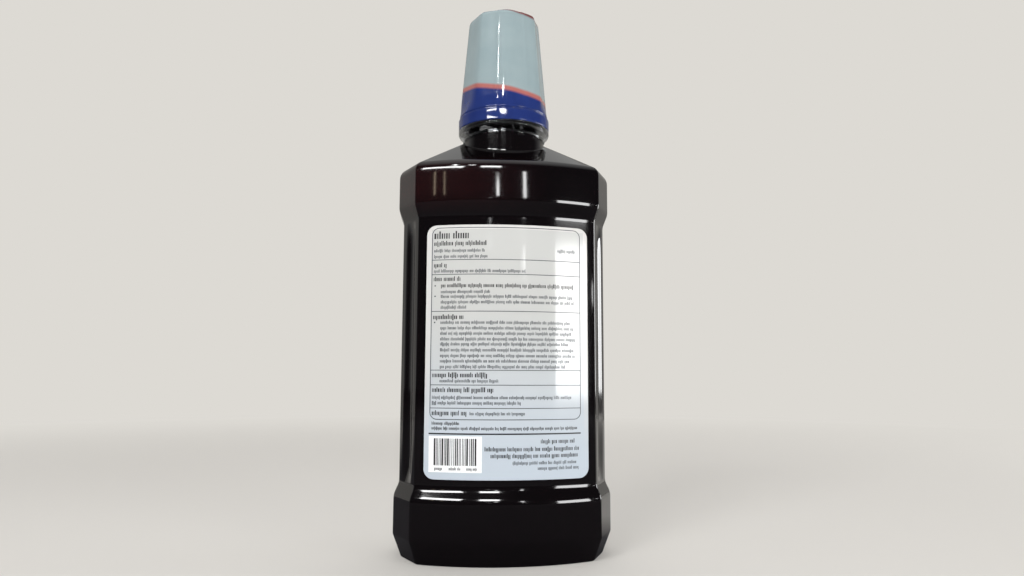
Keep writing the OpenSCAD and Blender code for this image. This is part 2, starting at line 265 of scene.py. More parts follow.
def divided(path, longest):
    """The path with every stretch cut to at most the length that longest gives for it."""
    result = [path[0]]
    for a, b in zip(path, path[1:]):
        count = max(1, math.ceil((b - a).length / longest((a + b) / 2) - 1e-6))
        result += [a.lerp(b, i / count) for i in range(1, count + 1)]
    return result


# %% [markdown]
# ## Rolling a sheet into a tube
# Everything on this bottle is a tube round one axis, though only the neck is round. A spin
# would do, but is slow for this many rings. So each piece starts as a flat grid, with a column
# for each angle and a row for each level. Every point then moves to the place that a function
# gives for its column and row, which rolls the grid up, and the seam and poles are merged. The
# columns crowd together at the corner edges and flutes, where the shape turns.

# %% Roll and shape
COLUMNS = 256
CROWDS = [(BODY_W / 2, SIDE_FLAT_W / 2, 0.02, 4), (FACE_W / 2, BODY_D / 2 - BOW_RISE, 0.025, 5),
          (*FACET_MID, 0.12, 1.2)]


def crowded_angles(columns):
    """Angles round the body, closer together at each crowd: its x, y, width and strength."""
    fine = np.linspace(0, math.pi / 2, 4000)
    level = np.full_like(fine, PANEL_TOP)
    radius = outline_radius(fine, level, np.full_like(fine, PANEL_INSET))
    steps = np.hypot(np.diff(radius * np.cos(fine)), np.diff(radius * np.sin(fine)))
    crowd = np.zeros(len(steps))
    for x, y, wide, more in CROWDS:
        crowd += more * np.exp(-((fine[1:] - math.atan2(y, x)) / wide) ** 2)
    run = np.concatenate([[0], np.cumsum(steps * (1 + crowd))])
    quarter = np.interp(np.linspace(0, run[-1], columns // 4 + 1), run, fine)[:-1]
    half = np.concatenate([quarter, [math.pi / 2], math.pi - quarter[:0:-1]])
    return np.concatenate([half, half + math.pi])


def turned_piece(name, level_count, columns, place):
    """A tube rolled from a grid; place(column, level) gives x, y and z in mm."""
    bm = bmesh.new()
    bmesh.ops.create_grid(bm, x_segments=columns, y_segments=level_count - 1, size=1)
    flat = np.array([v.co for v in bm.verts])
    column = np.rint((flat[:, 0] + 1) / 2 * columns).astype(int) % columns
    level = np.rint((flat[:, 1] + 1) / 2 * (level_count - 1)).astype(int)
    for vert, spot in zip(bm.verts, np.stack(place(column, level), axis=1) * MM):
        vert.co = spot
    bmesh.ops.remove_doubles(bm, verts=bm.verts, dist=1e-4 * MM)
    bmesh.ops.recalc_face_normals(bm, faces=bm.faces)
    return finished(name, bm)


def finished(name, bm, smooth=True):
    """A new object at the origin from a bmesh."""
    for face in bm.faces:
        face.smooth = smooth
    mesh = bpy.data.meshes.new(name)
    bm.to_mesh(mesh)
    bm.free()
    piece = bpy.data.objects.new(name, mesh)
    bpy.context.scene.collection.objects.link(piece)
    print(name, "has", len(mesh.polygons), "faces")
    return piece


def dress(piece, finish, slot, body, *nodes):
    """Gives a piece its finish, the body it moves with and what it replaces; slot is not used."""
    piece.data.materials.append(finish)
    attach(piece, body)
    if nodes:
        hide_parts(*nodes)


# %% [markdown]
# ## The bottle
# One closed shell: up the outside from the middle of the dished base, over the threaded
# finish, and down the inside. Each level of it is a height, an inset of the body's outline, a
# circle's radius, and a weight that goes from the circle, 0, to the outline, 1. The thread is
# a ridge that is laid on the finish as a function of height and angle.

# %% Levels of the bottle
FINISH_R, THREAD_R, BORE_R = 12.45, 13.7, 10.8
THREAD_LEAD, THREAD_TURNS, THREAD_END_GAP = 4.2, 1.2, 2.6
THREAD_ROOT_W, THREAD_CREST_W, THREAD_FADE_TURNS = 2.0, 0.9, 0.11
DISH_R, DISH_H, DISH_EDGE_R = 20.0, 3.0, 20.6
DISH_SPHERE = (DISH_R ** 2 + DISH_H ** 2) / (2 * DISH_H)
GATE_R, GATE_TIP_R, GATE_H = 2.6, 2.0, 0.5
DISH_STEPS = (0, 1, 1.9, 2.3, GATE_R, 3.2, 6, 9, 12, 15, 17.5, 19.2, 20)
FOOT_INSET, FOOT_RIM_W, FOOT_H, FOOT_R = 3.2, 2.4, 8.5, 2.2
BAND_TOP, UPPER_BAND, CREASE_R, INNER_CREASE_R = 22.5, 128.5, 6.0, 1.0
SLOPE_REACH = 24.8
SLOPE_TOP = SHOULDER_Z + SLOPE_REACH * math.tan(SHOULDER_SLOPE)
FINE_STEP, MEDIUM_STEP, COARSE_STEP, THREAD_STEP, NECK_STEP = 0.7, 2, 5, 0.22, 1.5
FINE_ABOVE, FINE_NEAR_FLUTE_END, COARSE_FROM, COARSE_TO = SHOULDER_Z + 1.5, 5, 40, 110
ON_FINISH = 0.05


def body_path(depth):
    """The wall's profile as (inset, height), at a depth inside the outer surface."""
    rise = math.tan(SHOULDER_SLOPE)
    eave = SHOULDER_Z - depth / math.cos(SHOULDER_SLOPE) + depth * rise
    foot = FOOT_INSET + depth
    points = [(foot + FOOT_RIM_W, depth), (foot, depth), (depth, FOOT_H),
              (depth, BAND_TOP), (PANEL_INSET + depth, PANEL_BOTTOM),
              (PANEL_INSET + depth, PANEL_TOP), (depth, UPPER_BAND), (depth, eave),
              (SLOPE_REACH, eave + (SLOPE_REACH - depth) * rise)]
    crease = INNER_CREASE_R if depth else CREASE_R
    path = rounded_path(points, [1.0, FOOT_R] + [crease] * 4 + [SHOULDER_ROUND - depth])

    def longest(p):
        from_flute_end = min(abs(p.y - FLUTE_LOW), abs(p.y - FLUTE_HIGH))
        if p.y > FINE_ABOVE or from_flute_end < FINE_NEAR_FLUTE_END:
            return FINE_STEP
        return COARSE_STEP if COARSE_FROM < p.y < COARSE_TO else MEDIUM_STEP

    return divided(path, longest)


def dish_height(r, sphere):
    """Height of the dished base at a radius from the axis."""
    return math.sqrt(sphere ** 2 - r * r) - DISH_SPHERE + DISH_H


def neck_path():
    """The neck and the threaded finish as (radius, height), up the outside and down the bore."""
    neck_in = NECK_R - NECK_WALL
    path = rounded_path(
        [(NECK_R, SLOPE_TOP + 0.1), (NECK_R, NECK_Z), (FINISH_R, NECK_Z), (FINISH_R, RIM_Z),
         (BORE_R, RIM_Z), (BORE_R, NECK_Z + 1), (neck_in, NECK_Z - 2.4),
         (neck_in, SLOPE_TOP - WALL)], [0.6, 0.8, 0.5, 0.4, 0.8, 0.8])
    return divided(path, lambda p: THREAD_STEP if abs(p.x - FINISH_R) < ON_FINISH else NECK_STEP)


def bottle_levels():
    """Rows of (height, inset, circle radius, weight of the outline)."""
    rows = []
    for r in DISH_STEPS:
        gate = GATE_H if r < GATE_TIP_R else GATE_H / 2 if r < GATE_R else 0
        rows.append((dish_height(r, DISH_SPHERE) - gate, 0, r, 0))
    rows += [(0.0, FOOT_INSET + FOOT_RIM_W, DISH_EDGE_R, w) for w in (0.1, 0.4, 0.7)]
    rows += [(p.y, p.x, 0, 1) for p in body_path(0)]
    rows += [(p.y, 0, p.x, 0) for p in neck_path()]
    rows += [(p.y, p.x, 0, 1) for p in reversed(body_path(WALL))]
    rows += [(WALL, FOOT_INSET + WALL + FOOT_RIM_W, DISH_EDGE_R, w) for w in (0.6, 0.2)]
    rows += [(dish_height(r, DISH_SPHERE + WALL), 0, r, 0) for r in (20, 15, 10, 5, 0)]
    return np.array(rows)


LEVELS = bottle_levels()
# Six levels past the first one at the rim's height, the path is inside the neck.
INNER_START = int(np.argmax(LEVELS[:, 0])) + 6
print("the bottle has", len(LEVELS), "levels")

# %% The bottle's mesh


def thread_ridge(angle, z):
    """Height of the thread's ridge, 0 to 1; it fades out at its ends."""
    start = RIM_Z - THREAD_END_GAP - THREAD_LEAD * THREAD_TURNS
    ridge = np.zeros_like(angle)
    for lap in range(math.ceil(THREAD_TURNS) + 1):
        turn = angle / (2 * math.pi) % 1 + lap
        off = np.abs(z - (start + THREAD_LEAD * turn))
        flank = np.clip((THREAD_ROOT_W / 2 - off) / (THREAD_ROOT_W / 2 - THREAD_CREST_W / 2), 0, 1)
        ends = np.clip(np.minimum(turn, THREAD_TURNS - turn) / THREAD_FADE_TURNS, 0, 1)
        ridge = np.maximum(ridge, flank * flank * (3 - 2 * flank) * ends)
    return ridge


def bottle_place(column, level):
    """The bottle's point for each column and level, with the slope blended into the neck."""
    angle = crowded_angles(COLUMNS)[column]
    z, inset, circle, weight = LEVELS[level].T
    outline = outline_radius(angle, z, inset)
    depth = np.where(level > INNER_START, NECK_WALL, 0)
    above = smooth_max(outline, NECK_R - depth + 0 * outline, NECK_BLEND)
    outline = np.where(z > SHOULDER_Z + NECK_BLEND_RISE, above, outline)
    radius = circle * (1 - weight) + outline * weight
    ridge = thread_ridge(angle, z) * (THREAD_R - FINISH_R)
    radius = radius + np.where(np.abs(radius - FINISH_R) < ON_FINISH, ridge, 0)
    return radius * np.cos(angle), radius * np.sin(angle), z


bottle = turned_piece("bottle_shell", len(LEVELS), COLUMNS, bottle_place)
dress(bottle, AMBER_PET, "amber_pet", "container", "bottle")

# %% [markdown]
# ## The mouthwash
# The liquid is a deep red-brown and shows only down the open neck, once the cap is off. It is
# the CAD solid with a still, glossy surface: IOR 1.33 as water has, and no roughness.

# %% Mouthwash


def mouthwash():
    material, place = new_finish("mouthwash_dyed_water")
    cloud = add(material, "TexNoise", {"Scale": 1 / (20 * MM), "Detail": 0.0}, {"Vector": place})
    colour = add(material, "Mix", {"A": linear("#2a0807"), "B": linear("#3a0d0b")},
                 {"Factor": cloud.outputs["Fac"]}, data_type="RGBA")
    return close_finish(material, {"Roughness": 0.02, "IOR": 1.33},
                        {"Base Color": colour.outputs["Result"]})


def finish_node(node, finish):
    """Gives a CAD node's material slots one finish."""
    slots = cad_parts[node].material_slots
    if not slots:
        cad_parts[node].data.materials.append(finish)
    for place in slots:
        place.material = finish


finish_node("mouthwash", mouthwash())

# %% [markdown]
# ## The labels
# Each label is a varnished film sheet with rounded corners, stuck on the recessed panel, and
# bent only one way. It starts flat: a rectangle whose four corner points are bevelled round.
# Upright cuts divide it so that it can bend, and a wrap then lays it on the panel's curve.
# The wrap turns the work inside out, so its normals are then worked out again.

# %% Sheets that wrap on the panel
LABEL_T = 0.1
LABEL_LIFT = 0.02
PANEL_R = BOW_R - PANEL_INSET
BEND_STEP = 1.0


def wrap(bm, side):
    """Bends flat work, x across, y outwards and z up in mm, on to the panel of one side."""
    for vert in bm.verts:
        turn = math.asin(vert.co.x / PANEL_R)
        radius = PANEL_R + vert.co.y
        vert.co = Vector((-side * radius * math.sin(turn), side * (radius * math.cos(turn) - BOW_Y),
                          vert.co.z)) * MM


def divide_across(bm):
    """Cuts flat work at every bend step of x, so that it bends smoothly."""
    reach = max(abs(v.co.x) for v in bm.verts)
    for i in range(-int(reach / BEND_STEP), int(reach / BEND_STEP) + 1):
        bmesh.ops.bisect_plane(bm, geom=bm.verts[:] + bm.edges[:] + bm.faces[:],
                               plane_co=(i * BEND_STEP, 0, 0), plane_no=(1, 0, 0))


def wrapped_piece(name, bm, side):
    """Flat work as a finished object: cut across, wrapped, and its faces turned outwards."""
    divide_across(bm)
    wrap(bm, side)
    bm.normal_update()
    bmesh.ops.recalc_face_normals(bm, faces=bm.faces)
    return finished(name, bm, smooth=False)


def lift(bm, faces, thick):
    """Gives flat faces a thickness outwards."""
    lifted = bmesh.ops.extrude_face_region(bm, geom=faces)["geom"]
    bmesh.ops.translate(bm, verts=[g for g in lifted if isinstance(g, bmesh.types.BMVert)],
                        vec=(0, thick, 0))


def rounded_sheet(bm, left, right, bottom, top, radius, low, thick):
    """A rounded rectangle from a height low off the panel, as thick as given."""
    made = bmesh.ops.create_grid(bm, x_segments=1, y_segments=1, size=0.5)["verts"]
    bmesh.ops.scale(bm, verts=made, vec=(right - left, top - bottom, 1))
    bmesh.ops.rotate(bm, verts=made, matrix=Matrix.Rotation(math.pi / 2, 3, "X"))
    bmesh.ops.translate(bm, verts=made, vec=((left + right) / 2, low, (bottom + top) / 2))
    corners = bmesh.ops.bevel(bm, geom=made, offset=radius, offset_type="OFFSET", segments=6,
                              profile=0.5, affect="VERTICES", material=-1)["verts"]
    lift(bm, list({face for vert in corners for face in vert.link_faces}), thick)


# %% [markdown]
# ## Label stock
# White polypropylene film, printed and varnished: nearly smooth, with a clear glare off the
# windows. The ground is tinted a pale grey that cools towards the foot, and a paler margin
# round the edge fades with it. A fine grain at a third of a millimetre stands for the varnish.

# %% Label stock
LABEL_W, LABEL_BOTTOM, LABEL_TOP, LABEL_CORNER = 58.8, 29.7, 119.9, 3.5
MARGIN, WARM_FROM = 1.6, 95


def label_stock(name, upper, lower, margin):
    """Varnished film in three greys: the upper ground, the lower ground and the margin."""
    material, place = new_finish(name)
    axes = add(material, "SeparateXYZ", links={"Vector": place})
    fall = add(material, "MapRange", {"From Min": LABEL_BOTTOM * MM, "From Max": WARM_FROM * MM},
               {"Value": axes.outputs["Z"]}, interpolation_type="SMOOTHSTEP")
    ground = add(material, "Mix", {"A": linear(lower), "B": linear(upper)},
                 {"Factor": fall.outputs["Result"]}, data_type="RGBA")
    across = add(material, "Math", links={0: axes.outputs["X"]}, operation="ABSOLUTE")
    beside = add(material, "Math", {1: (LABEL_W / 2 - MARGIN) * MM}, {0: across.outputs[0]},
                 operation="GREATER_THAN")
    above = add(material, "Math", {1: (LABEL_TOP - MARGIN) * MM}, {0: axes.outputs["Z"]},
                operation="GREATER_THAN")
    edge = add(material, "Math", links={0: beside.outputs[0], 1: above.outputs[0]},
               operation="MAXIMUM")
    edge = add(material, "Math", links={0: edge.outputs[0], 1: fall.outputs["Result"]},
               operation="MULTIPLY")
    colour = add(material, "Mix", {"B": linear(margin)},
                 {"Factor": edge.outputs[0], "A": ground.outputs["Result"]}, data_type="RGBA")
    grain = add(material, "TexNoise", {"Scale": 1 / (0.35 * MM), "Detail": 2.0}, {"Vector": place})
    bump = add(material, "Bump", {"Strength": 0.06, "Distance": 0.02 * MM},
               {"Height": grain.outputs["Fac"]})
    return close_finish(
        material, {"Roughness": 0.085, "IOR": 1.49},
        {"Base Color": colour.outputs["Result"], "Normal": bump.outputs["Normal"]})


def label_sheet(name, side, finish, node):
    bm = bmesh.new()
    rounded_sheet(bm, -LABEL_W / 2, LABEL_W / 2, LABEL_BOTTOM, LABEL_TOP, LABEL_CORNER,
                  LABEL_LIFT, LABEL_T)
    dress(wrapped_piece(name, bm, side), finish, "label_stock", "container", node)


LABEL_STOCK = label_stock("label_stock_varnished_film", "#c1c2c0", "#bdc7d1", "#d0cfcd")
label_sheet("back_label_sheet", -1, LABEL_STOCK, "back_label")
label_sheet("front_label_sheet", 1, LABEL_STOCK, "front_label")

# %% [markdown]
# ## The print
# The back label carries a table of small type in ruled boxes, and a striped code block. The
# words are left out: each is a run of plain upright ticks, so the label reads as type from a
# step away and says nothing. Ink is a thin raised film, so the ticks and rules are thin solids
# that are laid out flat, cut across and wrapped like the sheet. Each ink is its own piece.

# %% Laying out the print
INK_T = 0.015
INK_LOW = LABEL_LIFT + LABEL_T - 0.004
WORD_TICKS, TITLE_TICKS = (4, 6, 8, 9, 11, 13, 15), (5, 6, 7)
TICK_WIDTHS, TICK_GAP, WORD_GAP = (0.2, 0.26, 0.26, 0.34), 0.17, 0.45
TICK_TOPS, TICK_FEET = (1, 1, 1, 1, 1.38), (0, 0, 0, 0, 0, 0.35)
draw = random.Random(11)


def bar(bm, left, right, bottom, top):
    """One flat bar, before it is given its thickness."""
    corners = ((left, bottom), (right, bottom), (right, top), (left, top))
    bm.faces.new([bm.verts.new((x, INK_LOW, z)) for x, z in corners])


def thicken(bm):
    """Lifts every flat face by the thickness of the ink."""
    lift(bm, bm.faces[:], INK_T)


def words(bm, left, right, base, size, lengths=WORD_TICKS):
    """A row of words as ticks, on a base line, of a given x-height; widths and gaps follow it."""
    x = left
    while x < right - size:
        for _ in range(draw.choice(lengths)):
            wide = size * draw.choice(TICK_WIDTHS)
            if x + wide > right:
                break
            up = base + size * draw.choice(TICK_TOPS)
            down = base - size * draw.choice(TICK_FEET)
            bar(bm, x, x + wide, down, up)
            x += wide + TICK_GAP * size
        x += WORD_GAP * size


def rule_box(bm, left, right, bottom, top, radius, line):
    """A flat rounded frame: a bevelled rectangle whose middle is inset and taken out."""
    bar(bm, left, right, bottom, top)
    bm.faces.ensure_lookup_table()
    bmesh.ops.bevel(bm, geom=bm.faces[-1].verts[:], offset=radius, offset_type="OFFSET",
                    segments=6, profile=0.5, affect="VERTICES", material=-1)
    middle = max(bm.faces, key=lambda face: face.calc_area())
    bmesh.ops.inset_region(bm, faces=[middle], thickness=line, use_boundary=True,
                           use_even_offset=True)
    bmesh.ops.delete(bm, geom=[middle], context="FACES_ONLY")


# %% The back label's print
BOX_LEFT, BOX_RIGHT, BOX_BOTTOM, BOX_TOP = -27.6, 26.5, 50.3, 119.0
BOX_CORNER, BOX_LINE = 2.6, 0.28
RULES, RULE_H = (107.2, 101.9, 88.6, 67.7, 62.5, 54.4), 0.26
HEAVY_RULE = (-27.8, 26.4, 45.25, 45.75)
TEXT_LEFT, INDENT = -26.8, -24.2
BULLETS, BULLET, BULLET_SHIFT = (97.6, 93.8, 84.4), 0.5, 0.3
TITLE_RIGHT, TITLE_BASE, TITLE_SIZE, BODY_SIZE = -11.7, 114.9, 2.0, 0.85
# Rows of small type are (left, right, base line), and headings have their x-height as well.
BODY_ROWS = (
    (TEXT_LEFT, -8.8, 110.0), (TEXT_LEFT, -7.7, 107.9), (TEXT_LEFT, 6.0, 102.6),
    (INDENT, -6.6, 95.1), (INDENT, 23.4, 93.4), (INDENT, 24.2, 91.4), (INDENT, -15.0, 89.5),
    (INDENT, 22.6, 84.1), (INDENT, 24.0, 82.1), (INDENT, 23.1, 80.2), (INDENT, 24.6, 78.2),
    (INDENT, 21.8, 76.4), (INDENT, 23.9, 74.3), (INDENT, 24.4, 72.3), (INDENT, 22.4, 70.4),
    (INDENT, 20.7, 68.4), (INDENT, -3.5, 63.4), (TEXT_LEFT, 22.9, 57.6), (TEXT_LEFT, 4.3, 55.7),
    (-13.6, 6.8, 52.0), (1.5, 25.6, 35.0), (10.4, 25.6, 33.1), (17.8, 25.2, 110.4),
)
HEAD_ROWS = (
    (TEXT_LEFT, -8.1, 112.4, 1.25), (TEXT_LEFT, -21.9, 104.5, 1.2), (TEXT_LEFT, -16.9, 99.5, 1.2),
    (INDENT, 23.8, 97.2, 1.05), (TEXT_LEFT, -16.0, 85.8, 1.25), (TEXT_LEFT, -7.4, 65.2, 1.25),
    (TEXT_LEFT, -5.3, 60.0, 1.25), (TEXT_LEFT, -14.6, 51.9, 1.25), (TEXT_LEFT, -16.0, 48.6, 0.8),
    (TEXT_LEFT, 25.3, 46.9, 0.8), (11.5, 25.6, 42.2, 1.1), (-8.3, 25.6, 39.6, 1.1),
    (-6.2, 25.6, 37.3, 1.1),
)


def label_ink(name, hex_colour):
    """Offset ink: matt beside the varnish, with a slightly uneven film."""
    material, place = new_finish(name)
    mottle = add(material, "TexNoise", {"Scale": 1 / (0.6 * MM)}, {"Vector": place})
    deep, light = linear(hex_colour), [min(1, v * 1.35) for v in linear(hex_colour)]
    colour = add(material, "Mix", {"A": deep, "B": light}, {"Factor": mottle.outputs["Fac"]},
                 data_type="RGBA")
    return close_finish(material, {"Roughness": 0.3, "IOR": 1.5},
                        {"Base Color": colour.outputs["Result"]})


def print_piece(name, finish, lay_out, side=-1):
    """Thin solids laid out flat by a function and wrapped on a label."""
    bm = bmesh.new()
    lay_out(bm)
    dress(wrapped_piece(name, bm, side), finish, "label_ink", "container")


def small_print(bm):
    rule_box(bm, BOX_LEFT, BOX_RIGHT, BOX_BOTTOM, BOX_TOP, BOX_CORNER, BOX_LINE)
    for z in RULES:
        bar(bm, BOX_LEFT, BOX_RIGHT, z - RULE_H / 2, z + RULE_H / 2)
    for left, right, base in BODY_ROWS:
        words(bm, left, right, base, BODY_SIZE)
    for base in BULLETS:
        left = TEXT_LEFT + BULLET_SHIFT
        bar(bm, left, left + BULLET, base, base + BULLET)
    thicken(bm)


def bold_print(bm):
    words(bm, TEXT_LEFT, TITLE_RIGHT, TITLE_BASE, TITLE_SIZE, TITLE_TICKS)
    for left, right, base, size in HEAD_ROWS:
        words(bm, left, right, base, size)
    bar(bm, *HEAVY_RULE)
    thicken(bm)


INK = label_ink("label_ink_dark_grey", "#3f4449")
BOLD_INK = label_ink("label_ink_black", "#15171a")
print_piece("print_small_rows", INK, small_print)
print_piece("print_bold_rows", BOLD_INK, bold_print)

# %% The code block
CODE_LEFT, CODE_RIGHT, CODE_BOTTOM, CODE_TOP = -27.7, -9.2, 32.2, 44.7
STRIPE_LEFT, STRIPE_RIGHT, STRIPE_BOTTOM, STRIPE_TOP = -25.9, -11.2, 34.6, 43.9
STRIPE_WIDTHS, STRIPE_GAPS = (0.22, 0.22, 0.4, 0.58), (0.22, 0.3, 0.45)
DIGIT_ROWS, DIGIT_BASE, DIGIT_SIZE = ((-25.6, -22.4), (-20.6, -15.6), (-14.6, -10.9)), 33.0, 0.75


def code_ground(bm):
    bar(bm, CODE_LEFT, CODE_RIGHT, CODE_BOTTOM, CODE_TOP)
    thicken(bm)


def code_stripes(bm):
    """Upright stripes in a made-up rhythm over a row of ticks, laid on the white ground."""
    x = STRIPE_LEFT
    while x < STRIPE_RIGHT:
        wide = draw.choice(STRIPE_WIDTHS)
        bar(bm, x, x + wide, STRIPE_BOTTOM, STRIPE_TOP)
        x += wide + draw.choice(STRIPE_GAPS)
    for left, right in DIGIT_ROWS:
        words(bm, left, right, DIGIT_BASE, DIGIT_SIZE)
    bmesh.ops.translate(bm, verts=bm.verts, vec=(0, 0.8 * INK_T, 0))
    thicken(bm)


WHITE_INK = label_ink("label_ink_white", "#dfe4e8")
print_piece("print_code_ground", WHITE_INK, code_ground)
print_piece("print_code_stripes", BOLD_INK, code_stripes)

# %% [markdown]
# ## The front label's print
# This label is out of sight in the photograph, so it only gets a plain blue block and two red
# rules. They are thin solids too, laid out flat and wrapped on the far face.

# %% The front label's print
FRONT_HALF, FRONT_BOTTOM, FRONT_TOP, FRONT_CORNER = 24.0, 58, 96, 2.5
FRONT_RULES, FRONT_RULE_H, FRONT_RULE_CORNER = (55.2, 98.0), 0.8, 0.35


def front_block(bm):
    rounded_sheet(bm, -FRONT_HALF, FRONT_HALF, FRONT_BOTTOM, FRONT_TOP, FRONT_CORNER, INK_LOW,
                  INK_T)


def front_rules(bm):
    for z in FRONT_RULES:
        rounded_sheet(bm, -FRONT_HALF, FRONT_HALF, z, z + FRONT_RULE_H, FRONT_RULE_CORNER,
                      INK_LOW, INK_T)


BLUE_INK = label_ink("label_ink_deep_blue", "#222d70")
RED_INK = label_ink("label_ink_red", "#ad3a34")
print_piece("print_front_block", BLUE_INK, front_block, side=1)
print_piece("print_front_rules", RED_INK, front_rules, side=1)

# %% [markdown]
# ## The dosing cup
# Turned over, the cap is a cup: a collar at its open end, a taper with soft flats, and a dose
# line round its inside. The shrink film follows the cup's outside, so one profile gives that
# outside, and both pieces grow from it.

# %% The cup's outside
CUP_Z, CUP_TOP, CUP_R, CUP_TOP_R = 161.8, 208.3, 17.2, 13.6
COLLAR_R, GROOVE_Z, TAPER_Z, GROOVE_R = 17.75, 166.6, 167.7, 16.9
FLAT_DEPTH, FLAT_STEP, FLAT_TURN = 0.6, math.radians(45), math.radians(2)
CUP_EDGE_IN = 0.9
CUP_COLUMNS = 192


def cup_rows(grow, low, edge_in, hole):
    """The cup's outside, grown outwards, as rows of (radius, height, share of the flats)."""
    points = [(COLLAR_R - edge_in, low), (COLLAR_R, low + 0.5),
              (COLLAR_R, GROOVE_Z - 0.1), (GROOVE_R, GROOVE_Z + 0.3), (GROOVE_R, TAPER_Z - 0.4),
              (CUP_R, TAPER_Z), (CUP_TOP_R, CUP_TOP), (hole, CUP_TOP)]
    path = rounded_path(points, [0.4, 0.4, 0.25, 0.2, 0.5, 2.0])
    rows = []
    for p in divided(path, lambda p: 1.1 if p.x > 9 else 4):
        outwards = min(1, max(0, (CUP_TOP - 0.3 - p.y) / 2))
        share = min(1, max(0, (p.y - TAPER_Z) / 4)) * min(1, max(0, (p.x - 9) / 3))
        rows.append((p.x + grow * outwards, p.y + grow * (1 - outwards), share))
    return rows


def flats(angle):
    """How far the soft flats stand in from the round: 0 at a crease, 1 at a flat's middle."""
    off = (angle - FLAT_TURN) % FLAT_STEP - FLAT_STEP / 2
    return np.cos(off / FLAT_STEP * math.pi) ** 2


def cup_place(rows, spread=lambda angle, radius, z: 0):
    """A placing function for turned_piece, from rows and an outward spread in mm."""
    table = np.array(rows)

    def place(column, level):
        radius, z, share = table[level].T
        angle = column / CUP_COLUMNS * 2 * math.pi
        radius = radius - share * FLAT_DEPTH * flats(angle) + spread(angle, radius, z)
        return radius * np.cos(angle), radius * np.sin(angle), z

    return place


# %% The cup's mesh
RING_TOP, CUP_BORE_R, CUP_IN_R, CUP_IN_TOP_R, CUP_IN_TOP = 174.16, 15.35, 14.83, 11.91, 207.1
DOSE_R, DOSE_Z = 13.64, 187.6

inside = rounded_path(
    [(0, CUP_IN_TOP), (CUP_IN_TOP_R, CUP_IN_TOP), (DOSE_R - 0.03, DOSE_Z + 0.3),
     (DOSE_R + 0.25, DOSE_Z), (DOSE_R + 0.03, DOSE_Z - 0.3), (CUP_IN_R, RING_TOP),
     (CUP_BORE_R, RING_TOP), (CUP_BORE_R, CUP_Z)], [0.8, 0.05, 0.05, 0.05, 0.2, 0.1], 3)
inside = divided(inside, lambda p: 4)
outer = cup_rows(0, CUP_Z, CUP_EDGE_IN, 0)
cup_levels = outer + [(p.x, p.y, 0) for p in inside] + outer[:1]
cup = turned_piece("dosing_cup", len(cup_levels), CUP_COLUMNS, cup_place(cup_levels))

# %% [markdown]
# ## Moulded polypropylene, foam
# The cup and its thread ring are injection-moulded polypropylene: black, slightly waxy, with
# a fine satin from the mould, so the roughness is medium and the bump is faint. The gasket is
# closed-cell polyethylene foam, whose half-millimetre cells dimple its faces.

# %% Cup, ring and gasket finishes


def moulded(name, hex_colour, shade, roughness, grain_mm, relief_mm):
    material, place = new_finish(name)
    cloud = add(material, "TexNoise", {"Scale": 1 / (12 * MM)}, {"Vector": place})
    colour = add(material, "Mix", {"A": linear(hex_colour), "B": linear(shade)},
                 {"Factor": cloud.outputs["Fac"]}, data_type="RGBA")
    grain = add(material, "TexVoronoi", {"Scale": 1 / (grain_mm * MM)}, {"Vector": place})
    bump = add(material, "Bump", {"Strength": 0.5, "Distance": relief_mm * MM},
               {"Height": grain.outputs["Distance"]})
    return close_finish(material, {"Roughness": roughness, "IOR": 1.49},
                        {"Base Color": colour.outputs["Result"], "Normal": bump.outputs["Normal"]})


BLACK_PP = moulded("polypropylene_moulded_black", "#16181c", "#1d1f23", 0.34, 0.4, 0.01)
dress(cup, BLACK_PP, "polypropylene", "cap", "dose_cup")
finish_node("thread_ring", BLACK_PP)
finish_node("gasket", moulded("foam_polyethylene_liner", "#d9d4c6", "#cfc9b8", 0.6, 0.5, 0.08))

# %% [markdown]
# ## The printed shrink film
# A tube of film is printed, dropped over the cap and shrunk on with hot air. It bridges the
# groove, tents over the cup's creases, wrinkles where it draws in, and folds over the closed
# end. It is a thin closed shell: its outer face grows from the cup's profile by the film's
# thickness, and both faces share one spread, outwards only, so it never cuts the cup.

# %% Tents and wrinkles
FILM_T, FILM_GAP = 0.15, 0.02
PERFORATION_Z, FILM_HOLE_R = 162.2, 9.6
FRONT = -math.pi / 2
TENTS = ((-43, 0.07, 0.22), (-14, 0.05, 0.16), (29, 0.06, 0.30), (51, 0.07, 0.34), (96, 0.1, 0.2),
         (141, 0.09, 0.25), (178, 0.08, 0.2), (-88, 0.09, 0.24), (-131, 0.08, 0.2))
GATHER_RISE, GATHER_REACH, GATHER, GATHER_FOLDS = 0.6, 1.8, 0.13, 0.12
COLLAR_EASE, COLLAR_CREASES = 0.06, 0.05


def film_spread(angle, radius, z):
    """How far the film stands off the cup, in mm.

    Each tent has its heading from the front in degrees, its half width in radians and its
    height. The film is gathered at the groove and creased on the collar.
    """
    up = np.clip((z - TAPER_Z) / 6, 0, 1) * np.clip((radius - 9.0) / 4, 0, 1)
    off = 0 * angle
    for heading, wide, high in TENTS:
        apart = (angle - FRONT - math.radians(heading) + math.pi) % (2 * math.pi) - math.pi
        off = off + high * up / (1 + (apart / wide) ** 2)
    gather = np.exp(-((z - GROOVE_Z - GATHER_RISE) / GATHER_REACH) ** 2)
    folds = np.sin(9 * angle + 0.7 * z) * np.sin(5 * angle - 1.1 * z + 1.0)
    off = off + gather * (GATHER + GATHER_FOLDS * folds)
    collar = np.clip((GROOVE_Z - z) / 2, 0, 1)
    creases = np.sin(17 * angle + 1.3 * z) * np.sin(8 * angle - 0.9 * z)
    return off + collar * (COLLAR_EASE + COLLAR_CREASES * creases)


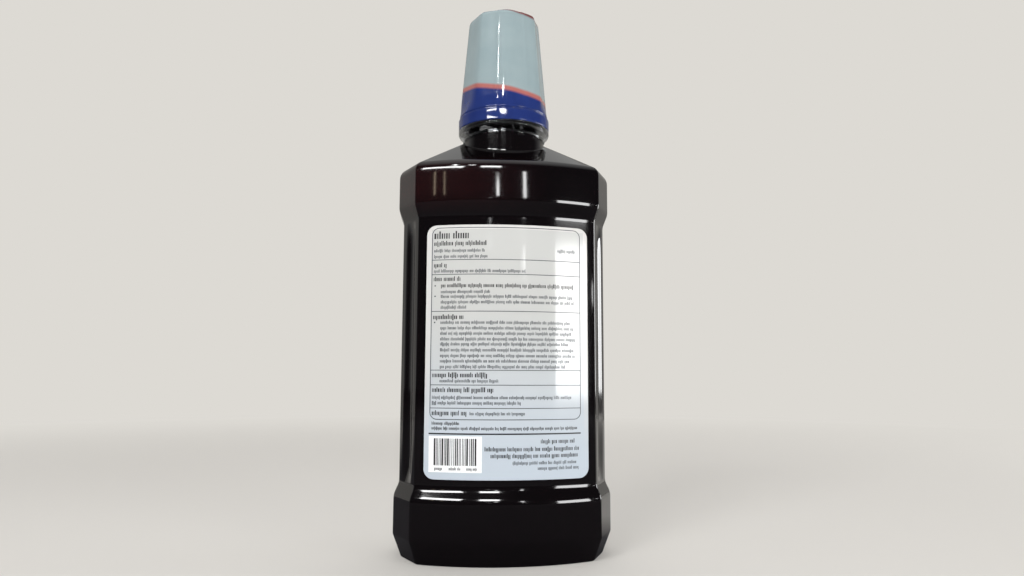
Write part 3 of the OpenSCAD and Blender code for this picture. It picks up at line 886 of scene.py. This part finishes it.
film_out = cup_rows(FILM_GAP + FILM_T, PERFORATION_Z, 0, FILM_HOLE_R)
film_in = cup_rows(FILM_GAP, PERFORATION_Z, 0, FILM_HOLE_R)
film_levels = film_out + film_in[::-1] + film_out[:1]
film = turned_piece("printed_shrink_film", len(film_levels), CUP_COLUMNS,
                    cup_place(film_levels, film_spread))

# %% [markdown]
# ## Printed PETG film
# The print is three plain grounds: grey-blue, a narrow red line, and deep blue below it, with
# red again at the fold on top, painted darker there as shade. Film slips as it shrinks, so the
# whole print sits tilted on the cap. A tilted plane across the Object coordinates gives the
# height that each ground starts from. The film itself is glossy, with faint upright draw lines.

# %% Printed film finish
PRINT_TILT = (0.161, -0.082, 1.0)
BLUE_TOP, RED_TOP, FOLD_RED, PRINT_SOFT = 175.3, 177.1, 208.8, 0.5


def printed_film():
    """The three grounds, each laid over the last from its level up, with a soft edge."""
    material, place = new_finish("petg_shrink_film_printed")
    height = add(material, "VectorMath", {1: PRINT_TILT}, {0: place}, operation="DOT_PRODUCT")

    def above(level):
        edge = {"From Min": (level - PRINT_SOFT) * MM, "From Max": (level + PRINT_SOFT) * MM}
        return add(material, "MapRange", edge, {"Value": height.outputs["Value"]}).outputs["Result"]

    cloud = add(material, "TexNoise", {"Scale": 1 / (9 * MM)}, {"Vector": place})
    pale = add(material, "Mix", {"A": linear("#87989c"), "B": linear("#95a4a7")},
               {"Factor": cloud.outputs["Fac"]}, data_type="RGBA").outputs["Result"]
    blue = add(material, "Mix", {"A": linear("#1c2a62"), "B": linear("#253672")},
               {"Factor": cloud.outputs["Fac"]}, data_type="RGBA").outputs["Result"]
    colour = add(material, "Mix", {"B": linear("#a9655f")}, {"Factor": above(BLUE_TOP), "A": blue},
                 data_type="RGBA").outputs["Result"]
    colour = add(material, "Mix", links={"Factor": above(RED_TOP), "A": colour, "B": pale},
                 data_type="RGBA").outputs["Result"]
    # The fold's red is the print's red, painted darker as shade on the top edge.
    colour = add(material, "Mix", {"B": linear("#6b1c1a")}, {"Factor": above(FOLD_RED), "A": colour},
                 data_type="RGBA").outputs["Result"]
    drawn = add(material, "Mapping", {"Scale": (1, 1, 0.12)}, {"Vector": place})
    lines = add(material, "TexNoise", {"Scale": 1 / (1.6 * MM), "Detail": 2.0},
                {"Vector": drawn.outputs["Vector"]})
    bump = add(material, "Bump", {"Strength": 0.12, "Distance": 0.1 * MM},
               {"Height": lines.outputs["Fac"]})
    return close_finish(material, {"Roughness": 0.07, "IOR": 1.55},
                        {"Base Color": colour, "Normal": bump.outputs["Normal"]})


dress(film, printed_film(), "printed_film", "cap", "printed_sleeve")

# %% [markdown]
# ## The clear tail of the film
# Below the perforation the film is unprinted. It stays on the bottle when the cap comes off,
# drawn in from the collar to the wide neck, with a wavering lower edge. Clear film is glass to
# a renderer: full transmission and almost no roughness.

# %% Clear tail
NECK_FIT_R, COLLAR_FIT_R = NECK_R + 0.05, COLLAR_R + 0.07
TAIL_STEP = 0.4
LOOSE_BELOW, LOOSE_RUN = 160.6, 3.0
TAIL_EASE, TAIL_FOLDS = 0.16, 0.15
EDGE_RISE, EDGE_WAVE, EDGE_RIPPLE = 0.2, 0.25, 0.1

tail_in = rounded_path(
    [(COLLAR_FIT_R, PERFORATION_Z - 0.07), (COLLAR_FIT_R, NECK_Z + 1.1),
     (COLLAR_R - 0.28, NECK_Z + 0.4), ((COLLAR_R + NECK_R) / 2, NECK_Z - 0.35),
     (NECK_R + 0.3, NECK_Z - 1.1), (NECK_FIT_R, NECK_Z - 1.6),
     (NECK_FIT_R + 0.25, NECK_Z - 2.15)], [0.3, 0.3, 0.5, 0.3, 0.25])
tail_in = divided(tail_in, lambda p: TAIL_STEP)
tail_levels = [(p.x, p.y) for p in tail_in]
tail_levels += [(p.x + FILM_T, p.y) for p in reversed(tail_in)] + [(tail_in[0].x, tail_in[0].y)]


def tail_place(column, level):
    """The tail's point for each column and level, looser and more wavering lower down."""
    radius, z = np.array(tail_levels)[level].T
    angle = column / CUP_COLUMNS * 2 * math.pi
    low = np.clip((LOOSE_BELOW - z) / LOOSE_RUN, 0, 1)
    folds = np.sin(7 * angle + 0.8 * z) * np.sin(4 * angle - 0.9 * z + 2.0)
    radius = radius + low * (1 - 0.5 * low) * (TAIL_EASE + TAIL_FOLDS * folds)
    waver = EDGE_WAVE * np.sin(3 * angle + 0.8) + EDGE_RIPPLE * np.sin(11 * angle)
    z = z + low * (EDGE_RISE + waver)
    return radius * np.cos(angle), radius * np.sin(angle), z


def clear_film():
    material, place = new_finish("petg_shrink_film_clear")
    haze = add(material, "TexNoise", {"Scale": 1 / (3 * MM), "Detail": 1.0}, {"Vector": place})
    bump = add(material, "Bump", {"Strength": 0.25, "Distance": 0.15 * MM},
               {"Height": haze.outputs["Fac"]})
    return close_finish(
        material, {"Base Color": linear("#f2f5f7"), "Roughness": 0.06, "IOR": 1.5,
                   "Transmission Weight": 1.0}, {"Normal": bump.outputs["Normal"]})


tail = turned_piece("clear_film_tail", len(tail_levels), CUP_COLUMNS, tail_place)
dress(tail, clear_film(), "clear_film", "container", "neck_sleeve")

# %% [markdown]
# ## Floor and backdrop
# The room is left out. A pale floor runs to a curved pale backdrop round the back and sides,
# which the glossy corner facets and shoulder mirror, as they mirrored the wall of the room.
# The backdrop shows its own colour to the camera and to reflections, so no lamp has to light it.
# The real table was dark and the bottle mirrored it, so reflections see the front of the floor
# as dark, up to a line just behind the bottle.

# %% Stage
PALE, PAPER, TABLE = linear("#dddad4"), linear("#d2cfca"), linear("#58575a")
PAPER_NEAR, PAPER_FAR, OWN_LEAST, MIRROR_STRENGTH = 0.25, 0.95, 0.25, 0.55
TABLE_BACKWARDS, TABLE_FADE_START, TABLE_FADE_END = (0.5, 0.866, 0), 0.09, 0.03


def paper_sweep(name, in_mirrors):
    """Matt paper near the bottle, which fades into its own pale colour further away."""
    material, place = new_finish(name)
    path = add(material, "LightPath")
    flat = add(material, "VectorMath", {1: (1, 1, 0)}, {0: place}, operation="MULTIPLY")
    reach = add(material, "VectorMath", links={0: flat.outputs[0]}, operation="LENGTH")
    own_share = add(material, "MapRange",
                    {"From Min": PAPER_NEAR, "From Max": PAPER_FAR, "To Min": OWN_LEAST},
                    {"Value": reach.outputs["Value"]}, interpolation_type="SMOOTHSTEP").outputs[0]
    seen = add(material, "Math", links={0: path.outputs["Is Camera Ray"],
                                        1: path.outputs["Is Transmission Ray"]},
               operation="MAXIMUM").outputs[0]
    if in_mirrors:
        seen = add(material, "Math", links={0: seen, 1: path.outputs["Is Glossy Ray"]},
                   operation="MAXIMUM").outputs[0]
    own_share = add(material, "Math", links={0: own_share, 1: seen}, operation="MULTIPLY")
    strength = add(material, "MapRange", {"To Min": 1.0, "To Max": MIRROR_STRENGTH},
                   {"Value": path.outputs["Is Glossy Ray"]})
    own = add(material, "Emission", {"Color": PALE}, {"Strength": strength.outputs["Result"]})
    back = add(material, "VectorMath", {1: TABLE_BACKWARDS}, {0: place},
               operation="DOT_PRODUCT")
    front = add(material, "MapRange", {"From Min": TABLE_FADE_START, "From Max": TABLE_FADE_END},
                {"Value": back.outputs["Value"]})
    dark = add(material, "Math", links={0: front.outputs["Result"],
                                        1: path.outputs["Is Glossy Ray"]}, operation="MULTIPLY")
    tone = add(material, "Mix", {"A": PAPER, "B": TABLE}, {"Factor": dark.outputs[0]},
               data_type="RGBA")
    matt = add(material, "BsdfDiffuse", links={"Color": tone.outputs["Result"]})
    both = add(material, "MixShader", links={0: own_share.outputs[0], 1: matt.outputs[0],
                                             2: own.outputs[0]})
    add(material, "OutputMaterial", links={"Surface": both.outputs[0]})
    return material


# %% The stage's meshes, in metres
FLOOR_R, FLOOR_DROP = 3.0, 0.01 * MM
BACKDROP_R, BACKDROP_H, BACKDROP_SPAN = 1.15, 0.95, 106
SWEEP_FOOT, SWEEP_LIFT, SWEEP_R = 0.3, 0.5 * MM, 0.2


def floor_disc():
    bm = bmesh.new()
    bmesh.ops.create_circle(bm, cap_ends=True, radius=FLOOR_R, segments=96)
    bmesh.ops.translate(bm, verts=bm.verts, vec=(0, 0, -FLOOR_DROP))
    return finished("floor", bm)


def curved_backdrop():
    """An upright profile that curves up from the floor, spun through its span behind."""
    bm = bmesh.new()
    profile = rounded_path([(BACKDROP_R - SWEEP_FOOT, SWEEP_LIFT), (BACKDROP_R, SWEEP_LIFT),
                            (BACKDROP_R, BACKDROP_H)], [SWEEP_R], 10)
    chain = [bm.verts.new((p.x, 0, p.y)) for p in profile]
    edges = [bm.edges.new(pair) for pair in zip(chain, chain[1:])]
    start = math.radians(90 - BACKDROP_SPAN / 2)
    bmesh.ops.rotate(bm, verts=chain, matrix=Matrix.Rotation(start, 3, "Z"))
    bmesh.ops.spin(bm, geom=chain + edges, axis=(0, 0, 1), cent=(0, 0, 0), steps=64,
                   angle=math.radians(BACKDROP_SPAN), use_merge=False, use_duplicate=False)
    return finished("backdrop", bm)


floor, backdrop = floor_disc(), curved_backdrop()
floor.data.materials.append(paper_sweep("paper_floor_matt", False))
backdrop.data.materials.append(paper_sweep("paper_backdrop_matt", True))

# %% [markdown]
# ## Light
# The photograph's glints are windows: a wide one off to the right, a high one to the left, and
# narrow uprights behind the camera. Area lamps of those shapes stand in their places, found by
# mirroring the view at each glint. Three small lamps near the cap give the film its streaks,
# and stand so close that the rest of the bottle doesn't mirror them. A broad soft lamp behind,
# which the gloss doesn't show, lights the far side and the floor, and a dim world that is
# darker on the camera's side fills the rest.

# %% Lamps
WHITE, WARM = (1, 1, 1), (1.0, 0.82, 0.6)
LAMP_AIM_Z = 0.1


def lamp(name, heading, elevation, distance, size, strength, colour=WHITE):
    """A rectangular lamp aimed at the bottle, in degrees and metres.

    Its heading runs from -Y towards +X, its size is a width and a height, and its strength is
    the brightness of its face, whatever the size.
    """
    h, e = math.radians(heading), math.radians(elevation)
    away = Vector((math.sin(h) * math.cos(e), -math.cos(h) * math.cos(e), math.sin(e)))
    data = bpy.data.lights.new(name, "AREA")
    data.shape = "RECTANGLE"
    data.size, data.size_y = size
    data.color = colour
    data.energy = strength * math.pi * size[0] * size[1]
    light = bpy.data.objects.new(name, data)
    light.location = away * distance + Vector((0, 0, LAMP_AIM_Z))
    light.rotation_euler = away.to_track_quat("Z", "Y").to_euler()
    light.visible_camera = False
    bpy.context.scene.collection.objects.link(light)
    return light


lamp("window_right", 44, 3.1, 1.0, (0.36, 0.25), 13)
lamp("window_side", 98, 4, 1.0, (0.5, 0.27), 10)
lamp("window_left", -36.3, 27.0, 1.1, (0.46, 0.177), 24)
lamp("window_left_pane", -6, 27.0, 1.1, (0.21, 0.177), 24)
lamp("film_streak", -31, 41.6, 0.412, (0.011, 0.026), 80)
lamp("film_dots", -33, 45.0, 0.435, (0.016, 0.007), 120)
lamp("film_blob", -19.2, 38.9, 0.406, (0.026, 0.008), 80)
lamp("warm_left", -40, 16.3, 0.9, (0.012, 0.07), 5, WARM)
lamp("warm_right", -34, 16.3, 0.9, (0.012, 0.07), 4, WARM)
lamp("upright_left", -2, 15, 0.9, (0.022, 0.045), 20)
lamp("upright_right", 13.8, 15.5, 0.9, (0.028, 0.09), 16)
lamp("glint_left", -6.5, 10.4, 0.9, (0.016, 0.01), 18)
lamp("glint_right", 13.8, 8.6, 0.9, (0.02, 0.035), 14)
lamp("glint_side", 59, 5.5, 1.0, (0.02, 0.035), 9)
lamp("soft_behind", 170, 58, 1.5, (1.1, 1.1), 2).visible_glossy = False

# %% The world
DARK_ROOM, PALE_ROOM, CEILING = [0.06, 0.06, 0.065, 1], [0.55, 0.55, 0.54, 1], [0.8, 0.8, 0.8, 1]


def studio_world():
    """Dim in front, where a dark room stands behind the camera, and palest overhead."""
    world = bpy.data.worlds.new("studio")
    world.use_nodes = True
    world.node_tree.nodes.clear()
    way = add(world, "TexCoord").outputs["Generated"]
    axes = add(world, "SeparateXYZ", links={"Vector": way})
    far = add(world, "MapRange", {"From Min": 0.1, "From Max": 0.8}, {"Value": axes.outputs["Y"]})
    high = add(world, "MapRange", {"From Min": 0.75, "From Max": 0.97},
               {"Value": axes.outputs["Z"]})
    shade = add(world, "Mix", {"A": DARK_ROOM, "B": PALE_ROOM}, {"Factor": far.outputs["Result"]},
                data_type="RGBA")
    shade = add(world, "Mix", {"B": CEILING},
                {"Factor": high.outputs["Result"], "A": shade.outputs["Result"]}, data_type="RGBA")
    camera_ray = add(world, "LightPath").outputs["Is Camera Ray"]
    shade = add(world, "Mix", {"B": PALE}, {"Factor": camera_ray, "A": shade.outputs["Result"]},
                data_type="RGBA")
    sky = add(world, "Background", {"Strength": 1.0}, {"Color": shade.outputs["Result"]})
    add(world, "OutputWorld", links={"Surface": sky.outputs[0]})
    return world


bpy.context.scene.world = studio_world()
print("lamps:", len(bpy.data.lights))
